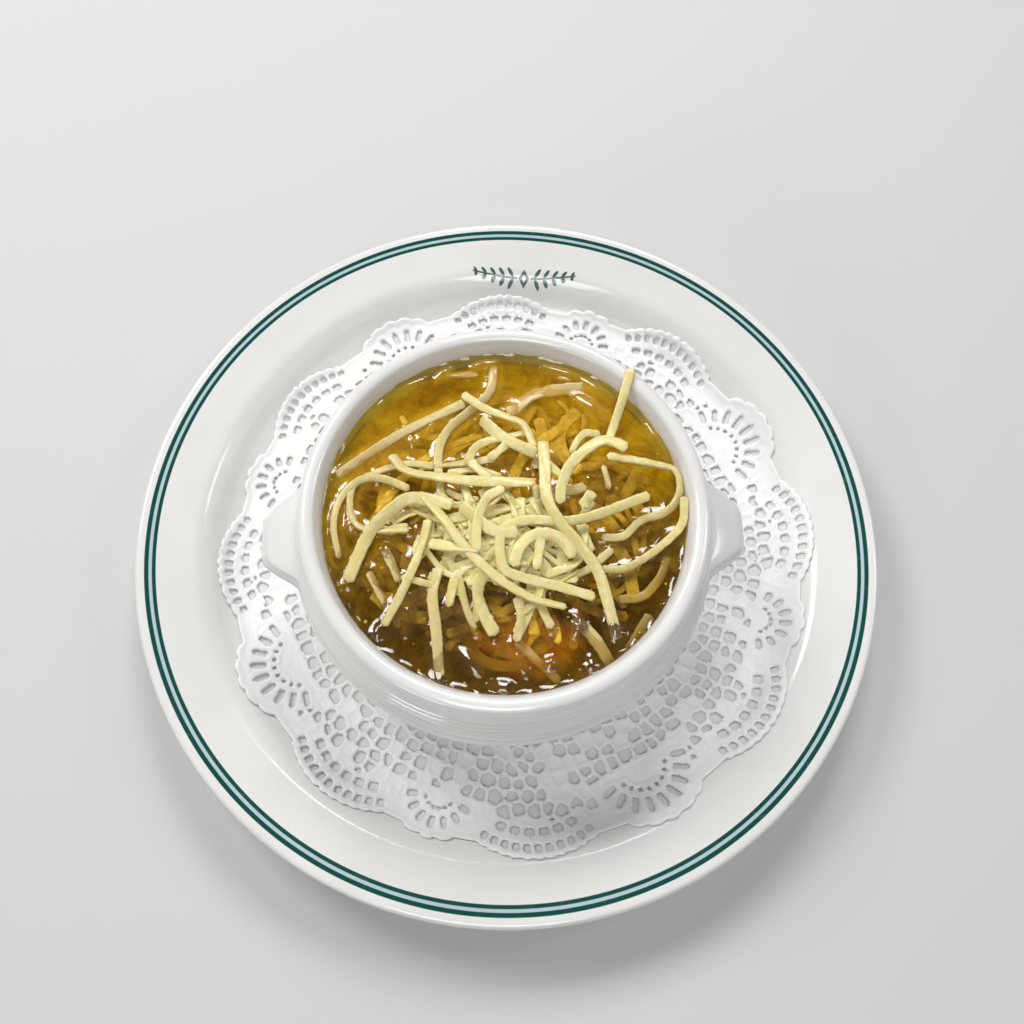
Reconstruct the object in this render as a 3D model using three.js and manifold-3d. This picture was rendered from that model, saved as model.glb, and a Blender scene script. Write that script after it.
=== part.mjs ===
// French onion soup in a two-handled bowl that stands on a paper doily on its underplate.
// Millimetres, +Z up. The origin is on the table under the middle of the plate, and the handles lie along X.

import * as THREE from 'three';
import { mergeVertices } from 'three/addons/utils/BufferGeometryUtils.js';
import Module from 'manifold-3d';

const wasm = await Module();
wasm.setup();

// Clearance between pieces that touch
const GAP = 0.3;

// Plate
const PLATE_R = 133;
const RIM_EDGE_Z = 22.5;
const WELL_R = 100;
const WELL_Z = 6.5;
const PLATE_SEGMENTS = 70;

// Doily, whose middle lies a little off the plate's. In each quarter it has two wide lobes with a narrow one after
// each: the lobe's angle, how far it falls short of the doily's radius, and the radius of its arc.
const DOILY_AT = new THREE.Vector2(3, -3.4);
const DOILY_R = 109;
const NOTCH_R = 104;
const LOBES = [
  [1.8, 0, 34],
  [26.6, 0, 24],
  [51.5, 0, 34],
  [71.6, 2.5, 20],
];
const PAPER = 0.5;
const DOILY_SEGMENTS = 80;

// Bowl
const BOWL_AT = new THREE.Vector3(-2.3, -9.3, WELL_Z + PAPER + 2 * GAP);
const BOWL_HEIGHT = 60;
const LIP_R = 65;
const BELLY_R = 69.8;
const FOOT_R = 38.5;
const BOWL_SEGMENTS = 56;
const GROOVES = 4;

// Handles
const HANDLE_TIP = 80;
const HANDLE_ROOT_WIDTH = 35;
const HANDLE_TIP_WIDTH = 17;
const HANDLE_THICK = 9;
const HANDLE_DROP = 19;
const HANDLE_Y = -1.6;
const HANDLE_SLOPE = THREE.MathUtils.degToRad(20);

// Broth, measured up from the bowl's foot
const BROTH_LEVEL = BOWL_HEIGHT - 6.5;
const BROTH_SEGMENTS = 44;

// Cheese heap, measured from the bowl's axis and up from the broth
const HEAP_AT = new THREE.Vector2(-2, -13);
const HEAP_SPREAD = new THREE.Vector2(27, 20);
const HEAP_HEIGHT = 6.5;
const STRIP_THICK = 2.2;
const REACH = 54.5;

const china = new THREE.MeshStandardMaterial({ color: 0xe6e5e2, roughness: 0.15, metalness: 0 });
const lace = new THREE.MeshStandardMaterial({ color: 0xeae9e5, roughness: 0.9, metalness: 0 });
const broth = new THREE.MeshStandardMaterial({ color: 0x8a5a08, roughness: 0.08, metalness: 0 });
const cheese = new THREE.MeshStandardMaterial({ color: 0xdccf8a, roughness: 0.45, metalness: 0 });

// A solid of revolution about +Z from an outline of [radius, height] points that starts and ends on the axis.
function turned(outline, segments) {
  const points = outline.map(([r, z]) => new THREE.Vector2(r, z));
  const geometry = new THREE.LatheGeometry(points, segments);
  geometry.rotateX(Math.PI / 2);
  return geometry;
}

// Points along a smooth curve through [radius, height] control points.
function smooth(controls, count) {
  const curve = new THREE.SplineCurve(controls.map(([r, z]) => new THREE.Vector2(r, z)));
  return curve.getSpacedPoints(count).map((p) => [p.x, p.y]);
}

// The closed solid that a geometry bounds, for joins and cuts. Triangles that shrink to a line at a pole are dropped.
function solidOf(geometry) {
  geometry.deleteAttribute('normal');
  geometry.deleteAttribute('uv');
  const merged = mergeVertices(geometry, 1e-3);
  const triVerts = [];
  for (let i = 0; i < merged.index.count; i += 3) {
    const [a, b, c] = [0, 1, 2].map((k) => merged.index.getX(i + k));
    if (a !== b && b !== c && c !== a) {
      triVerts.push(a, b, c);
    }
  }
  const vertProperties = new Float32Array(merged.attributes.position.array);
  return new wasm.Manifold(new wasm.Mesh({ numProp: 3, vertProperties, triVerts: new Uint32Array(triVerts) }));
}

// A geometry from a solid.
function geometryOf(solid) {
  const mesh = solid.getMesh();
  const geometry = new THREE.BufferGeometry();
  geometry.setAttribute('position', new THREE.BufferAttribute(mesh.vertProperties, 3));
  geometry.setIndex(new THREE.BufferAttribute(mesh.triVerts, 1));
  geometry.computeVertexNormals();
  return geometry;
}

// The largest of the separate bodies in a solid.
function largest(solid) {
  const bodies = solid.decompose();
  return bodies.reduce((best, body) => (body.volume() > best.volume() ? body : best));
}

function named(name, geometry, material) {
  const mesh = new THREE.Mesh(geometry, material);
  mesh.name = name;
  return mesh;
}

// The upper face of the plate: a flat well, a wall that turns up, a rounded shoulder and a sloping rim.
const plateTop = [
  [WELL_R - 8, WELL_Z],
  [WELL_R - 1, WELL_Z + 0.6],
  [WELL_R + 4, WELL_Z + 3.6],
  [WELL_R + 8.5, WELL_Z + 8.2],
  [WELL_R + 12.5, WELL_Z + 11],
  [WELL_R + 18, WELL_Z + 12.6],
  [PLATE_R - 7, RIM_EDGE_Z - 1.2],
  [PLATE_R - 2.4, RIM_EDGE_Z - 0.2],
];

// Height of the plate's upper face at a radius, straight between the points of its outline.
function plateHeight(outline, radius) {
  if (radius <= outline[0][0]) {
    return outline[0][1];
  }
  const next = outline.findIndex(([r]) => r >= radius);
  const [r0, z0] = outline[next - 1];
  const [r1, z1] = outline[next];
  return z0 + ((z1 - z0) * (radius - r0)) / (r1 - r0);
}

const plateTopLine = smooth(plateTop, 9);

function makePlate() {
  const footOuter = 75;
  const footInner = 68;
  const underside = smooth([
    [footOuter + 2.5, 2.4],
    [WELL_R - 4, 2.7],
    [WELL_R + 5, 5.6],
    [WELL_R + 14, 12.2],
    [PLATE_R - 8, 16.6],
    [PLATE_R - 1.2, 19.2],
  ], 5);
  const outline = [
    [0, 2.2],
    [footInner - 2, 2.2],
    [footInner, 0],
    [footOuter, 0],
    ...underside,
    [PLATE_R, 20.6],
    [PLATE_R - 0.7, 22],
    ...[...plateTopLine].reverse(),
    [0, WELL_Z],
  ];
  return turned(outline, PLATE_SEGMENTS);
}

// Edge of the doily at an angle in degrees: the farthest of the lobes' arcs, and never inside the notches' radius.
function doilyEdge(angle) {
  const reach = LOBES.map(([at, short, arc]) => {
    const off = THREE.MathUtils.degToRad(THREE.MathUtils.euclideanModulo(angle - at + 45, 90) - 45);
    const centre = DOILY_R - short - arc;
    const across = centre * Math.sin(off);
    return Math.abs(across) < arc ? centre * Math.cos(off) + Math.sqrt(arc * arc - across * across) : 0;
  });
  return Math.max(NOTCH_R, ...reach);
}

// A thin sheet that follows the well, both faces split into triangles alike.
function makeDoily() {
  const rings = [0.5, 0.865, 0.92, 0.96, 1];
  const vertices = [];
  const triangles = [];
  const perFace = 1 + rings.length * DOILY_SEGMENTS;
  for (const lift of [GAP, GAP + PAPER]) {
    vertices.push(DOILY_AT.x, DOILY_AT.y, WELL_Z + lift);
    for (const share of rings) {
      for (let i = 0; i < DOILY_SEGMENTS; i += 1) {
        const angle = (2 * Math.PI * i) / DOILY_SEGMENTS;
        const r = share * doilyEdge(THREE.MathUtils.radToDeg(angle));
        const x = DOILY_AT.x + r * Math.cos(angle);
        const y = DOILY_AT.y + r * Math.sin(angle);
        vertices.push(x, y, plateHeight(plateTopLine, Math.hypot(x, y) + 0.4) + lift);
      }
    }
  }
  const at = (face, ring, i) => face * perFace + 1 + ring * DOILY_SEGMENTS + (i % DOILY_SEGMENTS);
  const add = (face, a, b, c) => triangles.push(...(face ? [a, b, c] : [a, c, b]));
  for (let i = 0; i < DOILY_SEGMENTS; i += 1) {
    for (const face of [0, 1]) {
      add(face, face * perFace, at(face, 0, i), at(face, 0, i + 1));
      for (let ring = 1; ring < rings.length; ring += 1) {
        add(face, at(face, ring - 1, i), at(face, ring, i), at(face, ring, i + 1));
        add(face, at(face, ring - 1, i), at(face, ring, i + 1), at(face, ring - 1, i + 1));
      }
    }
    const edge = rings.length - 1;
    triangles.push(at(0, edge, i), at(0, edge, i + 1), at(1, edge, i + 1));
    triangles.push(at(0, edge, i), at(1, edge, i + 1), at(1, edge, i));
  }
  const geometry = new THREE.BufferGeometry();
  geometry.setAttribute('position', new THREE.Float32BufferAttribute(vertices, 3));
  geometry.setIndex(triangles);
  geometry.computeVertexNormals();
  return geometry;
}

// Inside of the bowl from the lip down to the middle of its floor, measured from the bowl's foot.
const bowlInside = [
  [LIP_R - 6.2, BOWL_HEIGHT - 2.2],
  [LIP_R - 7.2, BROTH_LEVEL],
  [LIP_R - 5.6, BROTH_LEVEL - 9],
  [BELLY_R - 6.4, 34],
  [BELLY_R - 7.8, 26],
  [BELLY_R - 15, 16],
  [32, 8.6],
  [14, 6.2],
];

const insideLine = smooth(bowlInside, 8);

// Fine grooves round the shoulder of the bowl, between the belly and the lip.
function grooveLine() {
  const line = [];
  const pitch = 3;
  const depth = 0.5;
  for (let i = 0; i < GROOVES; i += 1) {
    const z = BOWL_HEIGHT - 19 + i * pitch;
    const r = BELLY_R - 1.4 - i * 0.75;
    line.push([r, z], [r - depth, z + pitch / 2]);
  }
  return line;
}

function makeBowlBody() {
  const outside = smooth([
    [FOOT_R + 0.6, 3.4],
    [FOOT_R + 9, 8],
    [58, 15.6],
    [BELLY_R - 2.6, 25],
    [BELLY_R, 33],
    [BELLY_R - 0.8, 39.4],
  ], 7);
  const outline = [
    [0, 2.4],
    [FOOT_R - 5.5, 2.4],
    [FOOT_R - 4, 0],
    [FOOT_R, 0],
    ...outside,
    ...grooveLine(),
    [LIP_R - 0.4, BOWL_HEIGHT - 5.6],
    [LIP_R, BOWL_HEIGHT - 2.4],
    [LIP_R - 1, BOWL_HEIGHT - 0.7],
    [LIP_R - 3, BOWL_HEIGHT],
    [LIP_R - 5.2, BOWL_HEIGHT - 0.8],
    ...insideLine,
    [0, 5.6],
  ];
  return turned(outline, BOWL_SEGMENTS);
}

// A lug that tapers outwards and slopes down, for the +X side.
function makeHandle() {
  const bevel = 2.4;
  const root = LIP_R + 0.6;
  const tip = HANDLE_TIP - bevel;
  const rootHalf = HANDLE_ROOT_WIDTH / 2 - bevel;
  const tipHalf = HANDLE_TIP_WIDTH / 2 - bevel;
  const plan = new THREE.Shape();
  plan.moveTo(root, -rootHalf);
  plan.bezierCurveTo(root + 5, -rootHalf, tip, -rootHalf + 3, tip, -tipHalf);
  plan.lineTo(tip, tipHalf);
  plan.bezierCurveTo(tip, rootHalf - 3, root + 5, rootHalf, root, rootHalf);
  const geometry = new THREE.ExtrudeGeometry(plan, {
    depth: HANDLE_THICK - 2 * bevel,
    bevelSize: bevel,
    bevelThickness: bevel,
    bevelSegments: 3,
    curveSegments: 7,
  });
  geometry.translate(-root, 0, -HANDLE_THICK / 2 + bevel);
  geometry.rotateY(HANDLE_SLOPE);
  geometry.translate(root, 0, BOWL_HEIGHT - HANDLE_DROP);
  return geometry;
}

function makeBowl() {
  const body = solidOf(makeBowlBody());
  const right = solidOf(makeHandle().translate(0, HANDLE_Y, 0));
  const left = solidOf(makeHandle().rotateZ(Math.PI).translate(0, HANDLE_Y, 0));
  return geometryOf(body.add(right).add(left));
}

// The broth fills the bowl up to its level, clear of the wall all round.
function makeBroth() {
  const wall = insideLine.filter(([, z]) => z < BROTH_LEVEL - 1);
  const inset = wall.map(([r, z]) => [r - 0.45, z + 0.25]);
  const outline = [
    [0, BROTH_LEVEL],
    [LIP_R - 7.9, BROTH_LEVEL],
    ...inset,
    [0, 5.6 + GAP + 0.1],
  ];
  return turned(outline.reverse(), BROTH_SEGMENTS);
}

// Height of the heap above the broth at a place, without its strips.
function heapHeight(x, y) {
  const u = (x - HEAP_AT.x) / HEAP_SPREAD.x;
  const v = (y - HEAP_AT.y) / HEAP_SPREAD.y;
  return HEAP_HEIGHT * Math.exp(-u * u - v * v);
}

// A lumpy dome with a flat underside just above the broth.
function makeCore() {
  const around = 26;
  const rings = 5;
  const geometry = new THREE.CylinderGeometry(1, 1, 1, around, rings, false);
  geometry.rotateX(Math.PI / 2);
  const position = geometry.attributes.position;
  for (let i = 0; i < position.count; i += 1) {
    const x = position.getX(i);
    const y = position.getY(i);
    const level = position.getZ(i) + 0.5;
    const angle = Math.atan2(y, x);
    const flat = Math.hypot(x, y) < 0.5 ? 0 : 1;
    const reach = flat * Math.sqrt(1 - 0.82 * level * level);
    const lump = 1 + 0.1 * Math.sin(3 * angle + 1) + 0.07 * Math.sin(5 * angle);
    const px = HEAP_AT.x + HEAP_SPREAD.x * reach * lump * Math.cos(angle);
    const py = HEAP_AT.y + HEAP_SPREAD.y * reach * lump * Math.sin(angle);
    position.setXYZ(i, px, py, GAP + 0.78 * HEAP_HEIGHT * level);
  }
  return geometry;
}

// The strips that show, each as its width, its layer and its route in plan from the bowl's axis.
const STRIPS = [
  [3.4, 1, [43, 46], [39, 34], [34, 23], [31, 19]],
  [2.7, 2, [33, 17], [49, 14], [55, 7], [54, 1], [43, -4], [37, -9], [30, -9]],
  [2.8, 1, [54, 3], [53, -10], [44, -16], [36, -20], [27, -20]],
  [3.2, 2, [46, 3], [23, -5], [7, -5], [0, -7], [-2, -12], [-1, -20], [5, -23], [17, -26], [27, -29]],
  [3.9, 2, [13, 23], [13, 3], [16, -5], [22, -13], [28, -22], [31, -33], [33, -42]],
  [4, 1, [40, 19], [33, 22], [27, 19], [21, 13], [18, 6], [17, 0]],
  [3.8, 2, [-36, 20], [-31, 14], [-19, 11], [-7, 9], [10, 8]],
  [4.3, 1, [-16, 1], [-29, 4], [-36, 0], [-42, -6], [-49, -22]],
  [3, 1, [-24, -3], [-26, -11], [-30, -21], [-38, -36]],
  [3.6, 0, [-21, -18], [-23, -27], [-22, -37], [-21, -50]],
  [4.3, 1, [-6, -20], [-9, -25], [-8, -32], [-4, -40]],
  [3.2, 2, [-26, 5], [-19, -4], [-12, -14], [-3, -23], [7, -29], [18, -32]],
  [2.8, 1, [-13, 42], [-6, 36], [2, 32], [7, 29], [10, 20]],
  [4, 1, [-7, 33], [0, 25], [11, 18]],
  [3.2, 0, [-52, 14], [-34, 28], [-12, 39]],
  [3, 1, [-2, 53], [-4, 43], [-18, 29], [-21, 20], [-20, 4]],
  [2.6, 0, [-30, 8], [-38, 12], [-46, 12], [-52, 6], [-54, -3], [-52, -14]],
  [2.4, 1, [-22, 16], [-33, 17], [-46, 12], [-48, -1], [-43, -5], [-30, -6]],
  [3.2, 3, [0, 6], [-6, 2], [-9, -7], [-9, -15]],
  [3.8, 3, [2, -20], [4, -14], [9, -10], [16, -11], [21, -17]],
  [2.6, 1, [32, 25], [27, 26], [24, 23], [22, 19]],
  [2.6, 0, [-15, -21], [-13, -30], [-10, -38]],
  [3.4, 0, [3, -26], [4, -35], [2, -42]],
  [3, 1, [-12, 16], [-7, 23], [9, 27]],
];

// A strip laid over the heap along its route.
function makeStrip([width, layer, ...route]) {
  const points = route.map(([x, y]) => {
    const shrink = Math.min(1, REACH / Math.hypot(x, y));
    const z = GAP + STRIP_THICK / 2 + 0.75 * heapHeight(x, y) + 0.45 * layer;
    return new THREE.Vector3(x * shrink, y * shrink, z);
  });
  const path = new THREE.CatmullRomCurve3(points);
  const section = new THREE.Shape();
  const halfWidth = width / 2;
  const halfThick = STRIP_THICK / 2;
  section.moveTo(-halfThick, -halfWidth * 0.7);
  section.lineTo(-halfThick * 0.5, -halfWidth);
  section.lineTo(halfThick, -halfWidth * 0.8);
  section.lineTo(halfThick, halfWidth * 0.8);
  section.lineTo(-halfThick * 0.5, halfWidth);
  section.lineTo(-halfThick, halfWidth * 0.7);
  const steps = Math.max(4, Math.round(path.getLength() / 6.2));
  return new THREE.ExtrudeGeometry(section, { steps, bevelEnabled: false, extrudePath: path });
}

function makeCheese() {
  let heap = solidOf(makeCore());
  for (const strip of STRIPS) {
    heap = heap.add(solidOf(makeStrip(strip)));
  }
  const floor = solidOf(new THREE.BoxGeometry(200, 200, 20).translate(0, 0, GAP - 10));
  return geometryOf(largest(heap.subtract(floor)));
}

const soup = new THREE.Group();
soup.add(named('underplate', makePlate(), china));
soup.add(named('doily', makeDoily(), lace));

const filledBowl = new THREE.Group();
filledBowl.position.copy(BOWL_AT);
filledBowl.add(named('bowl', makeBowl(), china));
filledBowl.add(named('broth', makeBroth(), broth));

const topping = named('cheese', makeCheese(), cheese);
topping.position.z = BROTH_LEVEL;
filledBowl.add(topping);
soup.add(filledBowl);

export default soup;
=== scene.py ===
# %% [markdown]
# # Onion soup in a two-handled bowl
#
# A white bowl of onion soup with shreds of cheese stands on a paper doily on its underplate. The packed
# model gives the frame: every size here is in millimetres until a mesh is made, and metres after that.

# %% Frame and tools
import math

import bmesh
import bpy
import numpy as np
from mathutils import Matrix, Vector


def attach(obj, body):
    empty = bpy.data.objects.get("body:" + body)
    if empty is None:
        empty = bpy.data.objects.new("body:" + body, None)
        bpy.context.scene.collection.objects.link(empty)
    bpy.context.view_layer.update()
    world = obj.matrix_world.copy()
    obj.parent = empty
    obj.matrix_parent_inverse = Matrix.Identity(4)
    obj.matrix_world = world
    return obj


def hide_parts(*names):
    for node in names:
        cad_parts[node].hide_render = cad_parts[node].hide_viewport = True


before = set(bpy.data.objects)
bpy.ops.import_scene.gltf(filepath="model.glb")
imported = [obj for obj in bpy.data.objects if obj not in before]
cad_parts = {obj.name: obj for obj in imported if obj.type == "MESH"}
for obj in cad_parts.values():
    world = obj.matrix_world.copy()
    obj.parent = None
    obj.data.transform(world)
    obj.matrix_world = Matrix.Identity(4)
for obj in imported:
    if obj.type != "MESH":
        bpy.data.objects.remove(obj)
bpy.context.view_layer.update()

MM = 0.001

# %% [markdown]
# ## Camera
#
# The photograph looks down on the bowl from the near side, with the camera a little turned. Its place was
# found by fitting the ellipses of the plate's edge, its rim lines, the bowl's lip and the broth. The three
# directions of the camera make the columns of its matrix, so no aiming constraint is needed.

# %% Camera
CAMERA_AT = np.array([0.0, -117.8, 343.4])
CAMERA_DOWN = math.radians(68.9)
CAMERA_YAW = math.radians(0.37)
CAMERA_ROLL = math.radians(3.2)
PHOTO_TURN = math.radians(-4.5)
FOCAL_SHARE = 950 / 1024


def place_camera():
    """Camera whose axes come from its pitch, yaw and roll, turned into the part's frame."""
    ahead = np.array([
        math.sin(CAMERA_YAW) * math.cos(CAMERA_DOWN),
        math.cos(CAMERA_YAW) * math.cos(CAMERA_DOWN),
        -math.sin(CAMERA_DOWN),
    ])
    level = np.array([math.cos(CAMERA_YAW), -math.sin(CAMERA_YAW), 0.0])
    above = np.cross(level, ahead)
    right = math.cos(CAMERA_ROLL) * level + math.sin(CAMERA_ROLL) * above
    up = math.cos(CAMERA_ROLL) * above - math.sin(CAMERA_ROLL) * level
    turn = np.array(Matrix.Rotation(PHOTO_TURN, 3, "Z"))
    axes = turn @ np.column_stack([right, up, -ahead])
    at = turn @ CAMERA_AT * MM
    data = bpy.data.cameras.new("photo_camera")
    data.sensor_width = 36.0
    data.lens = 36.0 * FOCAL_SHARE
    data.clip_start = 0.01
    camera = bpy.data.objects.new("photo_camera", data)
    camera.matrix_world = Matrix(np.vstack([np.column_stack([axes, at]), [0, 0, 0, 1]]).tolist())
    bpy.context.scene.collection.objects.link(camera)
    bpy.context.scene.camera = camera
    return camera


print("camera", place_camera().location[:])

# %% [markdown]
# ## Light and floor
#
# Soft daylight from behind and from the left keeps the china bright. The broth is a mirror that looks to
# the ceiling behind the bowl, so no lamp stands there, and only the tilted rims of liquid catch the lamps.

# %% Light and floor
PALE_FLOOR = (0.62, 0.615, 0.6, 1.0)
FLOOR_HALF = 1.6
SKY_COLOUR = (0.93, 0.96, 1.0, 1.0)
SKY_STRENGTH = 0.17
LAMP_AIM = (0, 0, 0.05)
LAMPS = {
    "key_left": ((-0.8, 0.75, 1.05), (0.5, 0.5), 10.5),
    "lamp_back": ((0.15, 1.1, 1.15), (0.5, 0.5), 11.0),
    "window_right": ((1.1, 0.3, 1.0), (0.3, 0.4), 2.2),
    "window_front": ((-0.75, -1.15, 0.6), (0.5, 0.2), 2.6),
    "spot_above": ((-0.1, -0.75, 1.4), (0.6, 0.6), 6.5),
}


def add_lamp(name, at, size, power):
    """Rectangular area lamp that points at the bowl."""
    data = bpy.data.lights.new(name, "AREA")
    data.shape = "RECTANGLE"
    data.size, data.size_y = size
    data.energy = power
    lamp = bpy.data.objects.new(name, data)
    lamp.location = at
    lamp.rotation_euler = (Vector(at) - Vector(LAMP_AIM)).to_track_quat("Z", "Y").to_euler()
    bpy.context.scene.collection.objects.link(lamp)


def light_the_room():
    """Even pale surroundings and the lamps."""
    world = bpy.data.worlds.new("room")
    world.use_nodes = True
    background = world.node_tree.nodes["Background"]
    background.inputs["Color"].default_value = SKY_COLOUR
    background.inputs["Strength"].default_value = SKY_STRENGTH
    bpy.context.scene.world = world
    for name, lamp in LAMPS.items():
        add_lamp(name, *lamp)
    bpy.context.scene.view_settings.view_transform = "Standard"


def lay_floor():
    """Wide level floor just under the plate's foot."""
    data = bpy.data.meshes.new("floor")
    corners = [(FLOOR_HALF * x, FLOOR_HALF * y, 0.0) for x, y in ((-1, -1), (1, -1), (1, 1), (-1, 1))]
    data.from_pydata(corners, [], [(0, 1, 2, 3)])
    floor = bpy.data.objects.new("floor", data)
    material = bpy.data.materials.new("floor_matt")
    material.use_nodes = True
    shader = material.node_tree.nodes["Principled BSDF"]
    shader.inputs["Base Color"].default_value = PALE_FLOOR
    shader.inputs["Roughness"].default_value = 0.7
    data.materials.append(material)
    bpy.context.scene.collection.objects.link(floor)


light_the_room()
lay_floor()
print("lamps and floor are in place")

# %% [markdown]
# ## Surfaces from arrays
#
# Every piece here is a grid of points worked out with numpy: a profile turned about an axis, or a section
# carried along a path. The grids share one way of making faces, and merging their doubled points closes
# seams and poles.

# %% Mesh helpers
MERGE_DISTANCE = 1e-6


def grid_faces(rows, columns):
    """Quads of a grid of rows by columns, whose last column meets the first."""
    i = np.arange(rows - 1)[:, None]
    j = np.arange(columns)[None, :]
    ahead = (j + 1) % columns
    corners = [i * columns + j, i * columns + ahead, (i + 1) * columns + ahead, (i + 1) * columns + j]
    return np.stack(np.broadcast_arrays(*corners), axis=-1).reshape(-1, 4)


def make_piece(name, points, faces, material, attributes=None):
    """Object from points in millimetres and quads, with its doubled points merged."""
    data = bpy.data.meshes.new(name)
    data.from_pydata((np.asarray(points) * MM).tolist(), [], np.asarray(faces).tolist())
    for key, values in (attributes or {}).items():
        data.attributes.new(key, "FLOAT", "POINT").data.foreach_set("value", np.asarray(values, np.float32))
    shape = bmesh.new()
    shape.from_mesh(data)
    bmesh.ops.remove_doubles(shape, verts=shape.verts, dist=MERGE_DISTANCE)
    bmesh.ops.dissolve_degenerate(shape, edges=shape.edges, dist=MERGE_DISTANCE)
    shape.to_mesh(data)
    shape.free()
    data.polygons.foreach_set("use_smooth", np.ones(len(data.polygons), bool))
    data.materials.append(material)
    piece = bpy.data.objects.new(name, data)
    bpy.context.scene.collection.objects.link(piece)
    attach(piece, "root")
    print(name, len(data.vertices), "points", len(data.polygons), "faces")
    return piece


def smooth_line(controls, count):
    """Catmull-Rom curve through the control points, as count points spaced evenly along it."""
    p = np.asarray(controls, float)
    ends = np.vstack([2 * p[0] - p[1], p, 2 * p[-1] - p[-2]])
    t = np.linspace(0, len(p) - 1, 40 * (len(p) - 1) + 1)
    i = np.minimum(t.astype(int), len(p) - 2)
    u = (t - i)[:, None]
    a, b, c, d = ends[i], ends[i + 1], ends[i + 2], ends[i + 3]
    line = 0.5 * (2 * b + (c - a) * u + (2 * a - 5 * b + 4 * c - d) * u**2 + (3 * b - a - 3 * c + d) * u**3)
    run = np.r_[0, np.cumsum(np.linalg.norm(np.diff(line, axis=0), axis=1))]
    at = np.linspace(0, run[-1], count)
    return np.column_stack([np.interp(at, run, line[:, k]) for k in range(line.shape[1])])


def wander(x, y, size, seed, waves=6):
    """Smooth uneven field from -1 to 1: a sum of plane waves in random directions, about size across."""
    draw = np.random.default_rng(seed)
    total = np.zeros(np.broadcast(x, y).shape)
    for heading, phase, pace in zip(
        draw.uniform(0, 2 * np.pi, waves), draw.uniform(0, 2 * np.pi, waves), draw.uniform(0.7, 1.5, waves)
    ):
        reach = 2 * np.pi * pace / size
        total = total + np.sin((x * np.cos(heading) + y * np.sin(heading)) * reach + phase)
    return total / waves


def turned(profile, columns):
    """Points of a profile of [radius, height] turned about +Z, one row for each profile point."""
    angle = np.linspace(0, 2 * np.pi, columns, endpoint=False)
    r, z = profile[:, 0:1], profile[:, 1:2]
    return np.stack(np.broadcast_arrays(r * np.cos(angle), r * np.sin(angle), z), axis=-1)


# %% [markdown]
# ## Shader maths
#
# A material is a small program. Wrapping a socket in a class that knows plus, minus and times lets that
# program be written as an ordinary expression, and one method adds every other node.

# %% Shader helpers
def joined_by(operation):
    """Method that joins a value and another by one maths node."""
    def method(self, other):
        return self.maths(operation, other)

    return method


class Value:
    """A node's socket that can be used in arithmetic."""

    def __init__(self, finish, socket):
        self.finish = finish
        self.socket = socket

    def maths(self, operation, *others):
        """Add a maths node for this value and the others."""
        inputs = dict(enumerate((self, *others)))
        return self.finish.node("ShaderNodeMath", {"operation": operation}, inputs)

    __add__ = __radd__ = joined_by("ADD")
    __sub__ = joined_by("SUBTRACT")
    __mul__ = __rmul__ = joined_by("MULTIPLY")
    __truediv__ = joined_by("DIVIDE")
    __pow__ = joined_by("POWER")
    most = joined_by("MAXIMUM")
    least = joined_by("MINIMUM")

    def __rsub__(self, other):
        return self.maths("MULTIPLY", -1.0) + other

    def __abs__(self):
        return self.maths("ABSOLUTE")

    def rise(self, low, high):
        """Smooth step from 0 at low to 1 at high."""
        inputs = {"Value": self, "From Min": low, "From Max": high}
        return self.finish.node("ShaderNodeMapRange", {"interpolation_type": "SMOOTHSTEP"}, inputs)


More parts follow.
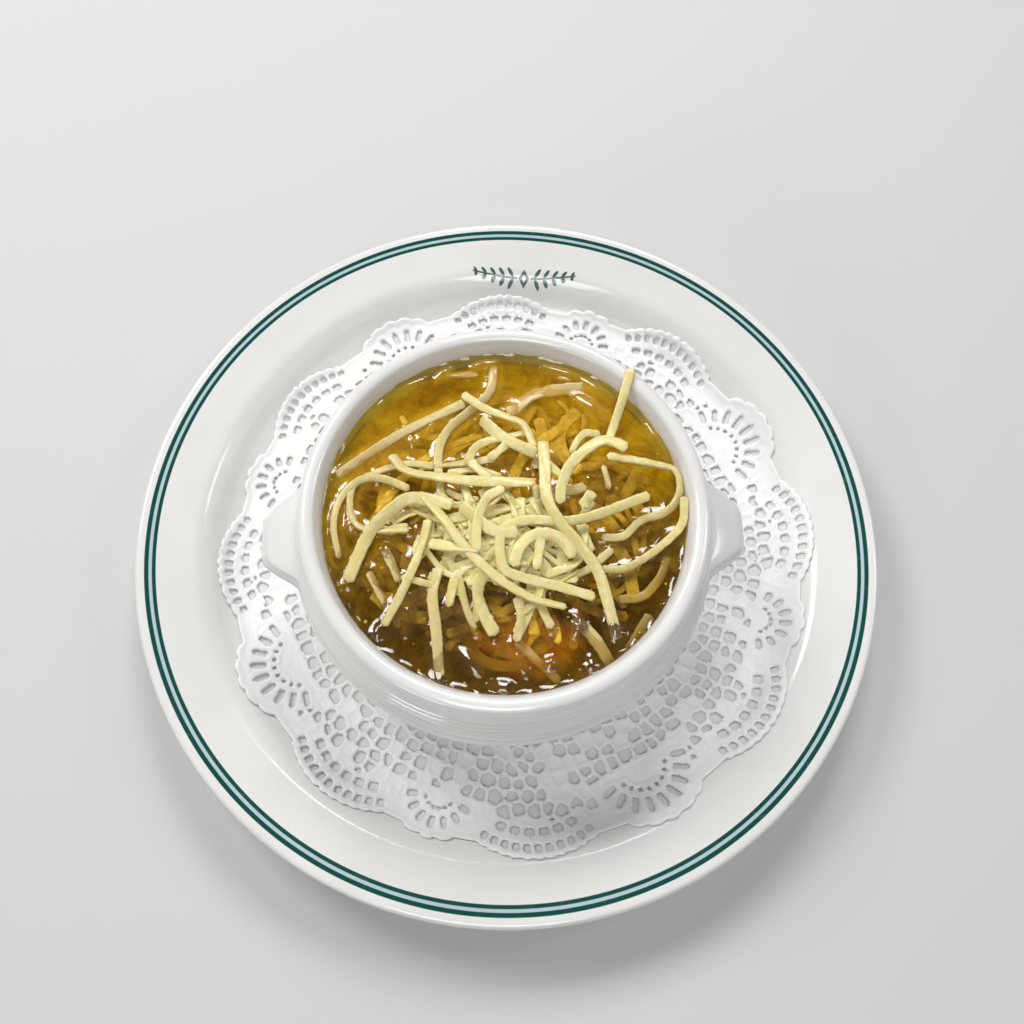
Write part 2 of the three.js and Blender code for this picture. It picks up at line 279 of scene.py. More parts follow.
class Finish:
    """A material and its Principled shader."""

    def __init__(self, name, **sockets):
        self.material = bpy.data.materials.new(name)
        self.material.use_nodes = True
        self.tree = self.material.node_tree
        self.shader = self.tree.nodes["Principled BSDF"]
        for key, value in sockets.items():
            self.shader.inputs[key.replace("_", " ").title().replace("Ior", "IOR")].default_value = value

    def node(self, kind, settings=None, inputs=None, output=0):
        """Add a node, make its settings, then fill or link its sockets."""
        added = self.tree.nodes.new(kind)
        for key, value in (settings or {}).items():
            if key == "stops":
                self.fill_ramp(added.color_ramp, value)
            else:
                setattr(added, key, value)
        for key, value in (inputs or {}).items():
            self.feed(added.inputs[key], value)
        return Value(self, added.outputs[output])

    @staticmethod
    def fill_ramp(ramp, stops):
        """Give a colour ramp its stops, each a place and a colour."""
        while len(ramp.elements) < len(stops):
            ramp.elements.new(1.0)
        for element, (place, colour) in zip(ramp.elements, stops):
            element.position = place
            element.color = (*colour, 1.0)

    def feed(self, socket, value):
        """Link a value to a socket, or write a number or a colour into it."""
        if isinstance(value, Value):
            self.tree.links.new(value.socket, socket)
        else:
            socket.default_value = value

    def set(self, socket, value):
        """Feed one of the shader's sockets, by its name."""
        self.feed(self.shader.inputs[socket], value)

    def place(self):
        """Object coordinates in millimetres, as a vector and its three numbers."""
        spot = self.node("ShaderNodeTexCoord", output=3)
        spot = self.node("ShaderNodeVectorMath", {"operation": "SCALE"}, {0: spot, "Scale": 1000.0})
        return (spot, *(self.node("ShaderNodeSeparateXYZ", None, {0: spot}, axis) for axis in range(3)))

    def noise(self, spot, size, detail=3.0, roughness=0.55, distortion=0.0):
        """Uneven field about 0.5, with lumps about size millimetres across."""
        inputs = {"Vector": spot, "Scale": 1.0 / size, "Detail": detail}
        inputs.update({"Roughness": roughness, "Distortion": distortion})
        return self.node("ShaderNodeTexNoise", None, inputs)

    def mix(self, share, first, second):
        """Blend of two colours."""
        sockets = {0: share, 6: self.colour(first), 7: self.colour(second)}
        return self.node("ShaderNodeMix", {"data_type": "RGBA"}, sockets, output=2)

    @staticmethod
    def colour(value):
        """A colour made opaque, or a value as it is."""
        return value if isinstance(value, Value) else (*value, 1.0)

    def ramp(self, share, stops):
        """Colour read from stops by a share from 0 to 1."""
        return self.node("ShaderNodeValToRGB", {"stops": stops}, {0: share})

    def attribute(self, name):
        """Number that the mesh keeps at each point."""
        return self.node("ShaderNodeAttribute", {"attribute_name": name}, output=2)

    def bump(self, height, distance, strength=1.0):
        """Relief whose height runs over distance metres."""
        inputs = {"Height": height, "Distance": distance, "Strength": strength}
        self.set("Normal", self.node("ShaderNodeBump", None, inputs))


# %% [markdown]
# ## Underplate
#
# The plate has a flat well, a wall that turns up to a rounded shoulder, and a rim that slopes up to a
# rolled edge. It could be modelled with a subdivided circle, but one profile turned about the axis keeps
# each radius exact, which matters because the two green lines and the tint between them follow the rim.

# %% Plate and bowl sizes
PLATE_R = 133.0
RIM_EDGE_Z = 22.5
WELL_R = 100.0
WELL_Z = 6.5
GAP = 0.3
PAPER = 0.5
BOWL_AT = np.array([-2.3, -9.3, WELL_Z + PAPER + 2 * GAP])
BOWL_HEIGHT = 60.0
LIP_R = 65.0
BELLY_R = 69.8
FOOT_R = 38.5
BROTH_LEVEL = BOWL_HEIGHT - 6.5
LEVEL_Z = BOWL_AT[2] + BROTH_LEVEL

PLATE_COLUMNS = 320

PLATE_TOP = [
    [WELL_R - 8, WELL_Z], [WELL_R - 1, WELL_Z + 0.6], [WELL_R + 4, WELL_Z + 3.6],
    [WELL_R + 8.5, WELL_Z + 8.2], [WELL_R + 12.5, WELL_Z + 11], [WELL_R + 18, WELL_Z + 12.6],
    [PLATE_R - 7, RIM_EDGE_Z - 1.2], [PLATE_R - 2.4, RIM_EDGE_Z - 0.2], [PLATE_R - 0.7, RIM_EDGE_Z - 0.5],
    [PLATE_R, RIM_EDGE_Z - 1.9],
]
plate_top_line = smooth_line(PLATE_TOP, 90)

# %% Glaze
GLAZE_WHITE = (0.80, 0.79, 0.765)
LINE_GREEN = (0.0005, 0.065, 0.05)
TINT = (0.36, 0.52, 0.58)
OUTER_LINE_R = 128.6
INNER_LINE_R = 126.2
SPRIG_R = 110.5
SPRIG_REACH = 20.0
SPRIG_HEADING = math.radians(85.0)
LEAF_PITCH = 3.7


def glaze(name):
    """White glaze: faint cloudy tone, a clear coat, and a barely uneven surface."""
    finish = Finish(name, roughness=0.16, coat_weight=0.35, coat_roughness=0.04, ior=1.5)
    spot, *_ = finish.place()
    cloud = finish.noise(spot, 24.0, 3.0).rise(0.35, 0.7)
    tone = finish.mix(cloud, GLAZE_WHITE, tuple(0.965 * c for c in GLAZE_WHITE))
    finish.set("Roughness", finish.noise(spot, 9.0, 4.0) * 0.10 + 0.10)
    finish.bump(finish.noise(spot, 7.0, 2.0), 0.00012, 0.35)
    return finish, tone


def sprig(x, y):
    """Mask of two mirrored leafy sprigs round a small diamond, on the far side of the rim."""
    outward = x * math.cos(SPRIG_HEADING) + y * math.sin(SPRIG_HEADING)
    sideways = y * math.cos(SPRIG_HEADING) - x * math.sin(SPRIG_HEADING)
    radius = (outward * outward + sideways * sideways) ** 0.5
    along = abs(sideways.maths("ARCTAN2", outward) * (SPRIG_R + 1.5))
    aside = abs(radius - SPRIG_R - along * along * 0.008)
    size = 1.0 - along * 0.03
    beat = along.maths("MODULO", LEAF_PITCH) - LEAF_PITCH / 2
    leaf = ((beat - aside * 0.55 + 1.1) / 0.85) ** 2.0 + ((aside - 2.3 * size) / (2.2 * size)) ** 2.0
    leaves = (1.0 - leaf.rise(0.8, 1.15)) * along.rise(3.6, 3.8)
    leaves = leaves * (1.0 - along.rise(SPRIG_REACH, SPRIG_REACH + 0.3))
    stem = (1.0 - aside.rise(0.22, 0.42)) * along.rise(2.6, 2.9)
    stem = stem * (1.0 - along.rise(SPRIG_REACH + 0.5, SPRIG_REACH + 1.0))
    rhomb = along / 2.3 + abs(radius - SPRIG_R) / 3.2
    diamond = (1.0 - rhomb.rise(0.9, 1.05)) * rhomb.rise(0.35, 0.5)
    return leaves.most(stem).most(diamond)


def plate_glaze():
    """Glaze with two green lines, the pale tint between them, and a sprig."""
    finish, tone = glaze("underplate_glaze")
    spot, x, y, z = finish.place()
    radius = (x * x + y * y) ** 0.5
    upper = z.rise(RIM_EDGE_Z - 2.9, RIM_EDGE_Z - 2.7)
    between = radius.rise(INNER_LINE_R, INNER_LINE_R + 0.5) * upper
    between = between * (1.0 - radius.rise(OUTER_LINE_R - 0.7, OUTER_LINE_R - 0.2))
    outer = (1.0 - abs(radius - OUTER_LINE_R).rise(0.6, 0.85)) * upper
    inner = (1.0 - abs(radius - INNER_LINE_R).rise(0.5, 0.75)) * upper
    shade = finish.noise(spot, 2.5, 3.0) * 0.3 + 0.88
    tone = finish.mix(between * 0.75, tone, TINT)
    tone = finish.mix(outer.most(inner) * shade.least(1.0), tone, LINE_GREEN)
    above = z.rise(10.0, 11.0)
    finish.set("Base Color", finish.mix(sprig(x, y) * above * 0.92, tone, LINE_GREEN))
    return finish.material


# %% Underplate
def make_underplate():
    """Plate: foot ring, underside and top as one outline turned about the axis."""
    foot = [[0, 2.2], [40, 2.2], [66, 2.2], [67.4, 0.9], [68.6, 0.0], [74.4, 0.0], [75.6, 0.8], [77.5, 2.3]]
    underside = smooth_line([
        [77.5, 2.3], [WELL_R - 4, 2.7], [WELL_R + 5, 5.6], [WELL_R + 14, 12.2],
        [PLATE_R - 8, 16.6], [PLATE_R - 1.2, 19.2], [PLATE_R, RIM_EDGE_Z - 1.9],
    ], 40)
    well = [[80, WELL_Z], [40, WELL_Z], [0, WELL_Z]]
    outline = np.vstack([foot, underside[1:], plate_top_line[::-1][1:], well])
    points = turned(outline, PLATE_COLUMNS).reshape(-1, 3)
    piece = make_piece("glazed_underplate", points, grid_faces(len(outline), PLATE_COLUMNS), plate_glaze())
    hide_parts("underplate")


make_underplate()

# %% [markdown]
# ## Paper lace doily
#
# Paper lace is a flat sheet with holes punched and ridges pressed by one tool. Boolean cuts would need
# about a thousand cutters, so the pattern is a field instead: at each point it gives the distance to the
# nearest cut edge. Cells of a fine grid inside a hole are dropped, the edge points slide on to the zero
# line of the field, and the same field raises the ridges beside the holes.

# %% Lace field
DOILY_AT = np.array([3.0, -3.4])
DOILY_R = 109.0
NOTCH_R = 104.0
NETWORK_R = 99.0
LACE_START = 60.0
QUARTER = math.pi / 2
WIDE_LOBES = (1.8, 51.5)
WIDE_ARC = 34.0
EDGE_ROW = {"at": 3.4, "pitch": 3.7, "half": (1.2, 1.3), "limit": 19.5}
INNER_ROW = {"at": 8.6, "pitch": 4.9, "half": (1.7, 1.35), "limit": 15.5, "offset": 0.5}
FANS = (
    {"heading": 26.6, "short": 0.0, "arc": 24.0, "inward": 21.0, "slit_at": 14.2, "slit": 2.7, "blades": 4},
    {"heading": 71.6, "short": 2.5, "arc": 20.0, "inward": 15.0, "slit_at": 9.4, "slit": 2.0, "blades": 3},
)
CELL = 4.9
RIB = 1.35
FAR = 50.0


def rounded_box(x, y, half_x, half_y, corner):
    """Distance to a box with rounded corners, negative inside."""
    qx = np.abs(x) - half_x + corner
    qy = np.abs(y) - half_y + corner
    outside = np.hypot(np.maximum(qx, 0), np.maximum(qy, 0))
    return outside + np.minimum(np.maximum(qx, qy), 0) - corner


def row_of_holes(along, depth, at, pitch, half, limit, offset=0.0):
    """Distance to a row of square-ish holes at one depth, spaced by pitch out to limit."""
    index = np.round(along / pitch - offset)
    local = along - (index + offset) * pitch
    hole = rounded_box(local, depth - at, half[0], half[1], 0.45 * min(half))
    return np.where(np.abs(index + offset) * pitch <= limit, hole, FAR)


def facing(radius, angle, heading):
    """Sideways and outward distances from the nearest of four axes, the first at heading degrees."""
    off = np.mod(angle - math.radians(heading) + QUARTER / 2, QUARTER) - QUARTER / 2
    return radius * np.sin(off), radius * np.cos(off)


def scallops(swing, arc, pitch, height):
    """Row of small rounds along a lobe's edge, as a distance that is zero at their tops."""
    return height * (np.abs(np.cos(np.pi * swing * arc / pitch)) ** 0.65 - 1)


def wide_lobe(radius, angle, heading):
    """Distances of a wide lobe: its edge, its two rows of holes, and the band that they take up."""
    x, y = facing(radius, angle, heading)
    y = y - (DOILY_R - WIDE_ARC)
    swing = np.arctan2(x, y)
    depth = WIDE_ARC - np.hypot(x, y)
    outer = row_of_holes(swing * (WIDE_ARC - EDGE_ROW["at"]), depth, **EDGE_ROW)
    inner = row_of_holes(swing * (WIDE_ARC - INNER_ROW["at"]), depth, **INNER_ROW)
    band = np.minimum(6.2 - np.abs(depth - 5.2), 21.0 - np.abs(swing) * (WIDE_ARC - 5.0))
    return depth + scallops(swing, WIDE_ARC, 4.0, 0.7), np.minimum(outer, inner), band


def fan_lobe(radius, angle, heading, short, arc, inward, slit_at, slit, blades):
    """Distances of a narrow lobe: its edge, its fan of slits, and the disc that they take up."""
    x, y = facing(radius, angle, heading)
    top = DOILY_R - short
    rise = y - top + arc
    edge = arc - np.hypot(x, rise) + scallops(np.arctan2(x, rise), arc, 6.5, 1.0)
    out = y - top + inward
    reach = np.hypot(x, out)
    turn = np.arctan2(x, out)
    step = math.radians(76.0) / blades
    off = turn - np.clip(np.round(turn / step), -blades, blades) * step
    slits = rounded_box(reach * np.sin(off), reach * np.cos(off) - slit_at, 1.0, slit, 0.9)
    off = turn - np.clip(np.round(turn / step - 0.5), -blades, blades - 1) * step - step / 2
    dots = rounded_box(reach * np.sin(off), reach * np.cos(off) - slit_at + slit + 2.6, 0.75, 0.8, 0.7)
    band = np.minimum(slit_at + slit + 1.2 - reach, out + 2.0)
    return edge, np.minimum(slits, dots), band


def cell_seeds():
    """Middles of the cells of one quarter, in uneven rings, with copies past both ends; some stay uncut."""
    draw = np.random.default_rng(5)
    seeds = []
    for ring, radius in enumerate(np.arange(LACE_START, NETWORK_R, 4.8)):
        count = round(radius * QUARTER / CELL)
        turn = (np.arange(count) + 0.5 * (ring % 2) + draw.uniform(-0.3, 0.3, count)) / count
        reach = radius + draw.uniform(-1.2, 1.2, count)
        seeds.append(np.column_stack([turn, reach, draw.uniform(size=count) < 0.2]))
    seeds = np.concatenate(seeds)
    before = seeds[seeds[:, 0] > 0.86] - [1, 0, 0]
    after = seeds[seeds[:, 0] < 0.14] + [1, 0, 0]
    seeds = np.concatenate([seeds, before, after])
    angle = seeds[:, 0] * QUARTER
    return np.column_stack([seeds[:, 1] * np.cos(angle), seeds[:, 1] * np.sin(angle), seeds[:, 2]])


def cells(radius, angle):
    """Distance to the cells: half the rib less half the difference of the two nearest middles' distances."""
    turn = np.mod(angle, QUARTER)
    x, y = radius * np.cos(turn), radius * np.sin(turn)
    first, second = np.full(x.shape, 1e6), np.full(x.shape, 1e6)
    plain = np.zeros(x.shape)
    for seed_x, seed_y, uncut in cell_seeds():
        gap = np.hypot(x - seed_x, y - seed_y)
        nearer = gap < first
        second = np.where(nearer, first, np.minimum(second, gap))
        first = np.where(nearer, gap, first)
        plain = np.where(nearer, uncut, plain)
    half = (second - first) / 2
    return RIB / 2 + np.where(plain > 0, half, -half)


def lace_field(radius, angle):
    """Distance in millimetres to the nearest cut edge of the lace: positive on paper."""
    lobes = [wide_lobe(radius, angle, heading) for heading in WIDE_LOBES]
    lobes += [fan_lobe(radius, angle, **fan) for fan in FANS]
    edge = np.max([NOTCH_R - radius, *(lobe[0] for lobe in lobes)], axis=0)
    outside = np.max([radius - NETWORK_R + 1.5, *(lobe[2] for lobe in lobes)], axis=0)
    network = np.maximum(cells(radius, angle), outside)
    return np.min([edge, network, *(lobe[1] for lobe in lobes)], axis=0)


# %% Lace sheet
LACE_COLUMNS = 792
PAPER_THICK = 0.29
LACE_RADII = np.r_[0.0, 22.0, 40.0, 52.0, 57.0, np.arange(LACE_START, DOILY_R + 1.0, 0.7)]


def lace_points():
    """Grid of the sheet's points in plan, with the cut edges slid on to the zero line of the field."""
    angle = np.linspace(0, 2 * np.pi, LACE_COLUMNS, endpoint=False)
    radius, angle = np.meshgrid(LACE_RADII, angle, indexing="ij")
    field = lace_field(radius, angle)
    step = 0.05
    slope_r = (lace_field(radius + step, angle) - field) / step
    slope_a = (lace_field(radius, angle + step / 100) - field) / (step / 100 * np.maximum(radius, 1))
    steep = np.maximum(slope_r**2 + slope_a**2, 0.3)
    push = np.clip(field, -0.5, 0.5) / steep
    near = (np.abs(field) < 0.5) & (radius > LACE_START)
    radius = radius - np.where(near, push * slope_r, 0)
    angle = angle - np.where(near, push * slope_a / np.maximum(radius, 1), 0)
    return radius, angle, field, near


def lace_height(x, y, radius, field, near):
    """Height above the plate: a gentle wave, and ridges pressed up beside the holes and along the edge."""
    ground = np.interp(np.hypot(x, y), plate_top_line[:, 0], plate_top_line[:, 1], left=WELL_Z)
    wave = 0.35 * (wander(x, y, 46.0, 3) + 0.6) * np.clip((radius - 72) / 25, 0, 1)
    paper = np.where(near, 0.0, field)
    ridge = 0.42 * np.exp(-(((paper - 0.75) / 0.45) ** 2)) * (radius > LACE_START + 2)
    dimple = 0.12 * wander(x, y, 5.0, 4) * np.clip(paper - 1.5, 0, 1)
    return ground + GAP + PAPER_THICK + 0.01 + np.maximum(wave, 0) + ridge + dimple


def make_doily(material):
    """Both faces of the paper from one grid, with walls round every hole and the outer edge."""
    radius, angle, field, near = lace_points()
    rows, columns = radius.shape
    x = DOILY_AT[0] + radius * np.cos(angle)
    y = DOILY_AT[1] + radius * np.sin(angle)
    top = np.stack([x, y, lace_height(x, y, radius, field, near)], axis=-1).reshape(-1, 3)
    below = top - [0, 0, PAPER_THICK]
    quads = grid_faces(rows, columns)
    core = field.reshape(-1)[quads].mean(axis=1) > 0.0
    core |= radius.reshape(-1)[quads].max(axis=1) < LACE_START + 2
    quads = quads[core]
    edges = np.concatenate([quads[:, [k, (k + 1) % 4]] for k in range(4)])
    size = rows * columns
    forward = edges[:, 0] * size + edges[:, 1]
    backward = edges[:, 1] * size + edges[:, 0]
    rim = edges[~np.isin(forward, backward)]
    rim = rim[radius.reshape(-1)[rim].min(axis=1) > 1.0]
    walls = np.column_stack([rim[:, 1], rim[:, 0], rim[:, 0] + size, rim[:, 1] + size])
    faces = np.concatenate([quads, quads[:, ::-1] + size, walls])
    used, faces = np.unique(faces, return_inverse=True)
    points = np.vstack([top, below])[used]
    piece = make_piece("lace_doily", points, faces.reshape(-1, 4), material)
    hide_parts("doily")


# %% [markdown]
# The paper is matt and very slightly warm, with a fine fibrous grain that only shows as a broken sheen.

# %% Doily paper and piece
def doily_paper():
    """Matt white paper with a fine grain."""
    finish = Finish("doily_paper", roughness=0.62, sheen_weight=0.05)
    spot, *_ = finish.place()
    cloud = finish.noise(spot, 12.0, 4.0).rise(0.3, 0.75)
    finish.set("Base Color", finish.mix(cloud, (0.88, 0.88, 0.865), (0.83, 0.83, 0.815)))
    finish.set("Roughness", finish.noise(spot, 1.2, 4.0) * 0.25 + 0.45)
    finish.bump(finish.noise(spot, 0.45, 3.0), 0.00006, 0.5)
    return finish.material


make_doily(doily_paper())

# %% [markdown]
# ## Bowl
#
# The bowl is thrown round and its lugs are pressed on, so glaze fills the corner where they meet. Two
# meshes stuck together would show a hard line there. Here the wall itself swells: a band of rows moves
# outwards by an amount that depends on the angle, which makes the lug and its soft root in one surface.

# %% Bowl sizes
HANDLE_TIP = 79.6
HANDLE_ROOT_WIDTH = 35.0
HANDLE_TIP_WIDTH = 17.0
HANDLE_THICK = 9.0
HANDLE_DROP = 19.0
HANDLE_Y = -1.6
HANDLE_SLOPE = math.tan(math.radians(20.0))
BOWL_COLUMNS = 360
BAND_ROWS = 46

BELLY_Z = 33.0
NECK_Z = 54.0
WALL_START_Z = 3.4
FOOT_RECESS = 2.4
GROOVE_PITCH = 2.3
GROOVE_DEPTH = 0.34

BOWL_OUTSIDE = [
    [FOOT_R + 0.6, WALL_START_Z], [FOOT_R + 9, 8], [58, 15.6], [BELLY_R - 2.6, 25], [BELLY_R, BELLY_Z],
    [BELLY_R - 0.8, 39.4], [BELLY_R - 2.4, 46], [LIP_R + 0.6, 51.4], [LIP_R - 1.1, NECK_Z],
]
BOWL_LIP = [
    [LIP_R - 1.0, BOWL_HEIGHT - 5.4], [LIP_R, BOWL_HEIGHT - 3.4], [LIP_R - 0.5, BOWL_HEIGHT - 1.2],
    [LIP_R - 1.9, BOWL_HEIGHT - 0.15], [LIP_R - 3.6, BOWL_HEIGHT], [LIP_R - 5.2, BOWL_HEIGHT - 0.8],
    [LIP_R - 6.2, BOWL_HEIGHT - 2.6],
]
BOWL_INSIDE = [
    [LIP_R - 6.2, BOWL_HEIGHT - 2.6], [LIP_R - 7.2, BROTH_LEVEL], [LIP_R - 5.6, BROTH_LEVEL - 9],
    [BELLY_R - 6.4, 34], [BELLY_R - 7.8, 26], [BELLY_R - 15, 16], [32, 8.6], [14, 6.2], [0, 5.6],
]


def outer_wall(height):
    """Radius of the outer wall at a height, with fine throwing grooves round the belly."""
    line = smooth_line(BOWL_OUTSIDE, 200)
    radius = np.interp(height, line[:, 1], line[:, 0])
    beat = np.cos(2 * np.pi * (height - BELLY_Z) / GROOVE_PITCH)
    zone = np.clip((height - BELLY_Z + 3) / 5, 0, 1) * np.clip((NECK_Z - 2 - height) / 2, 0, 1)
    return radius + GROOVE_DEPTH * zone * np.sign(beat) * np.abs(beat) ** 0.6


def bowl_rows():
    """Radius, height and lug share of each row, from the middle of the foot over the lip to the floor."""
    middle = BOWL_HEIGHT - HANDLE_DROP
    half = HANDLE_THICK / 2
    swing = np.linspace(-np.pi / 2, np.pi / 2, BAND_ROWS)
    band = middle + half * np.sign(np.sin(swing)) * np.abs(np.sin(swing)) ** 0.6
    share = np.abs(np.cos(swing)) ** 0.5
    low = np.linspace(WALL_START_Z, middle - half - 0.3, 70)
    high = np.linspace(middle + half + 0.3, NECK_Z, 44)
    foot = np.array([
        [0, FOOT_RECESS], [20, FOOT_RECESS], [FOOT_R - 6, FOOT_RECESS], [FOOT_R - 4.6, 1.4],
        [FOOT_R - 3.6, 0.2], [FOOT_R - 3, 0], [FOOT_R - 1, 0], [FOOT_R - 0.2, 0.4], [FOOT_R, 1.4],
    ])
    wall = np.concatenate([low, band, high])
    lip = smooth_line(BOWL_LIP, 40)
    inside = smooth_line(BOWL_INSIDE, 60)[1:]
    radius = np.concatenate([foot[:, 0], outer_wall(wall), lip[:, 0], inside[:, 0]])
    height = np.concatenate([foot[:, 1], wall, lip[:, 1], inside[:, 1]])
    lug = np.zeros(len(radius))
    start = len(foot) + len(low)
    lug[start:start + BAND_ROWS] = share
    kernel = np.hanning(9)
    return radius, height, np.convolve(lug, kernel / kernel.sum(), "same")


def lug_reach(angle):
    """How far the lug stands out at an angle: full across its tip, easing to nothing at its root."""
    off = np.abs(BELLY_R * np.sin(angle) - HANDLE_Y)
    root = HANDLE_ROOT_WIDTH / 2 + 1
    share = np.clip((root - off) / (root - HANDLE_TIP_WIDTH / 3.4), 0, 1)
    return (HANDLE_TIP - BELLY_R + 1.6) * share**2 * (3 - 2 * share)


def make_bowl():
    """Bowl as one surface of rows by columns."""
    radius, height, lug = bowl_rows()
    angle = np.linspace(0, 2 * np.pi, BOWL_COLUMNS, endpoint=False)
    out = lug[:, None] * lug_reach(angle)[None, :]
    r = radius[:, None] + out
    z = height[:, None] - HANDLE_SLOPE * out
    points = np.stack([r * np.cos(angle), r * np.sin(angle), z], axis=-1).reshape(-1, 3) + BOWL_AT
    finish, tone = glaze("bowl_glaze")
    finish.set("Base Color", tone)
    piece = make_piece("glazed_bowl", points, grid_faces(len(radius), BOWL_COLUMNS), finish.material)
    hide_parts("bowl")


make_bowl()

# %% [markdown]
# ## Cheese shreds
#
# A grater leaves flat strips that bend where they fell. Each strip that shows has a short route, given as
# x, y and its lift above the broth, and a rounded section is carried along it. The short pieces in the
# middle of the heap are drawn at random from a fixed seed, so that every run gives the same heap.

# %% Strip routes
STRIPS = {
    "lone": (3.4, [(43, 47, 7.3), (40, 38, 5), (37, 30, 4), (34, 22, 4.5)]),
    "right_loop": (2.7, [(33, 17, 4.5), (49, 14, 3.5), (55, 12, 2.8), (56, 6, 2.4), (54, 1, 1.5),
        (50, -2, 1), (43, -4, 0.5), (37, -9, 0), (30, -9, -0.5)]),
    "right_reach": (2.8, [(57, 3, 3), (56, -5, 2), (52, -10, 1), (44, -16, 0.5), (36, -20, 1),
        (29, -20, 1.5)]),
    "s_curve": (3.2, [(46, 3, 4.5), (23, -5, 5.5), (7, -5, 6), (0, -7, 6), (-2, -12, 6), (-1, -20, 5),
        (5, -23, 4), (17, -26, 2.5), (27, -29, 1)]),
    "long_diagonal": (3.9, [(13, 23, 4), (13, 14, 6), (13, 3, 7), (16, -5, 7), (22, -13, 6), (28, -22, 4),
        (31, -33, 1), (33, -42, -1.5)]),
    "arch": (4.0, [(40, 19, 5.5), (33, 22, 5.5), (27, 19, 6), (21, 13, 6.5), (18, 6, 6.5), (17, 0, 6)]),
    "left_bar": (3.8, [(-36, 20, 2.5), (-31, 14, 3), (-19, 11, 3.5), (-7, 9, 4.5), (10, 8, 5)]),
    "left_hook": (4.3, [(-16, 1, 5), (-29, 4, 4), (-36, 0, 3.5), (-42, -6, 2), (-46, -14, 1), (-49, -22, 0)]),
    "left_leg": (3.0, [(-24, -3, 4), (-26, -11, 3), (-30, -21, 2), (-34, -29, 0.5), (-38, -36, -0.5)]),
    "front_leg": (3.6, [(-21, -18, 1.5), (-23, -27, 0.5), (-22, -37, -0.3), (-21, -52, -1.2)]),
    "front_hook": (4.3, [(-6, -20, 4), (-9, -25, 3), (-8, -32, 2), (-4, -40, 0.5)]),
    "diagonal": (3.2, [(-26, 5, 4), (-19, -4, 5.5), (-12, -14, 5.5), (-3, -23, 5), (7, -29, 3),
        (18, -32, 1.5)]),
    "back_curl": (2.8, [(-13, 42, 1.5), (-6, 36, 2.5), (2, 32, 3), (7, 29, 3.5), (10, 20, 4.5)]),
    "back_blade": (4.0, [(-7, 33, 1), (0, 25, 3), (11, 18, 4.5)]),
    "half_sunk_bar": (3.2, [(-54, 14, -0.8), (-34, 28, -0.2), (-12, 39, 0.6)]),
    "beige_s": (3.0, [(-2, 54, -1.2), (-4, 43, -0.3), (-12, 35, 0), (-18, 29, 0.3), (-21, 20, 0.6),
        (-20, 4, 1)]),
    "left_loop": (2.6, [(-30, 8, 1.5), (-38, 12, 1), (-46, 12, 0.6), (-52, 6, 0.2), (-54, -3, -0.2),
        (-52, -14, -1)]),
    "inner_loop": (2.4, [(-22, 16, 1.5), (-33, 17, 0.8), (-46, 12, 0.3), (-49, 7, 0), (-48, -1, 0),
        (-43, -5, 0.5), (-30, -6, 2)]),
    "thin_drop": (2.0, [(32, 15, 2), (33, 11, 1), (34, 7, -0.6)]),
    "core_loop": (3.2, [(0, 6, 6.5), (-6, 2, 6.5), (-9, -7, 6.5), (-9, -15, 5.5)]),
    "core_hook": (3.8, [(2, -20, 5.5), (4, -14, 6.5), (9, -10, 6.5), (16, -11, 6), (21, -17, 4)]),
    "front_thin": (2.6, [(-15, -21, 2), (-13, -30, 0.3), (-10, -38, -1)]),
    "front_lump": (3.4, [(3, -28, 2), (4, -35, 1), (2, -42, -0.3)]),
    "ring_back": (2.6, [(32, 25, 3), (27, 26, 2.5), (24, 23, 2), (22, 19, 1.5)]),
    "core_a": (3.6, [(-24, -11, 4), (-16, -13, 5), (-8, -14, 5)]),
    "core_b": (4.0, [(-14, 1, 5), (-4, -8, 6), (4, -9, 6)]),
    "core_c": (3.6, [(28, 5, 4), (24, -1, 5.5)]),
    "core_d": (3.4, [(11, -8, 6.5), (9, -21, 5)]),
    "core_e": (3.2, [(-11, 17, 3), (-4, 9, 4.5)]),
    "core_f": (3.0, [(-12, 16, 2.5), (-7, 23, 2.5), (9, 27, 2)]),
    "core_g": (3.0, [(-5, 17, 3), (2, 23, 3)]),
    "core_h": (3.0, [(13, 15, 5.5), (19, 9, 5.5)]),
    "sunk_right": (3.0, [(51, -15, -2), (48, -22, -2.5), (42, -28, -2.5), (34, -29, -2)]),
    "sunk_front_a": (4.0, [(20, -35, -1), (26, -41, -1.8), (31, -50, -2.5)]),
    "sunk_front_b": (3.5, [(44, -34, -2), (36, -45, -3)]),
    "sunk_front_c": (3.0, [(2, -41, -1.5), (8, -47, -2.2), (15, -54, -3)]),
    "sunk_left_a": (2.6, [(-43, -18, -1), (-38, -28, -1.6), (-33, -36, -2.4)]),
    "sunk_left_b": (3.2, [(-38, -11, -0.6), (-33, -22, -1.2)]),
    "sunk_back_a": (4.5, [(2, 35, -1), (12, 43, -1.8), (29, 45, -1.4)]),
    "sunk_back_b": (3.0, [(-19, 51, -2), (-7, 51, -2)]),
}
STRIP_THICK = 1.2
SIDES = 12
RIDE = 0.8
LEAN = math.radians(24)
TWIST = math.radians(20)

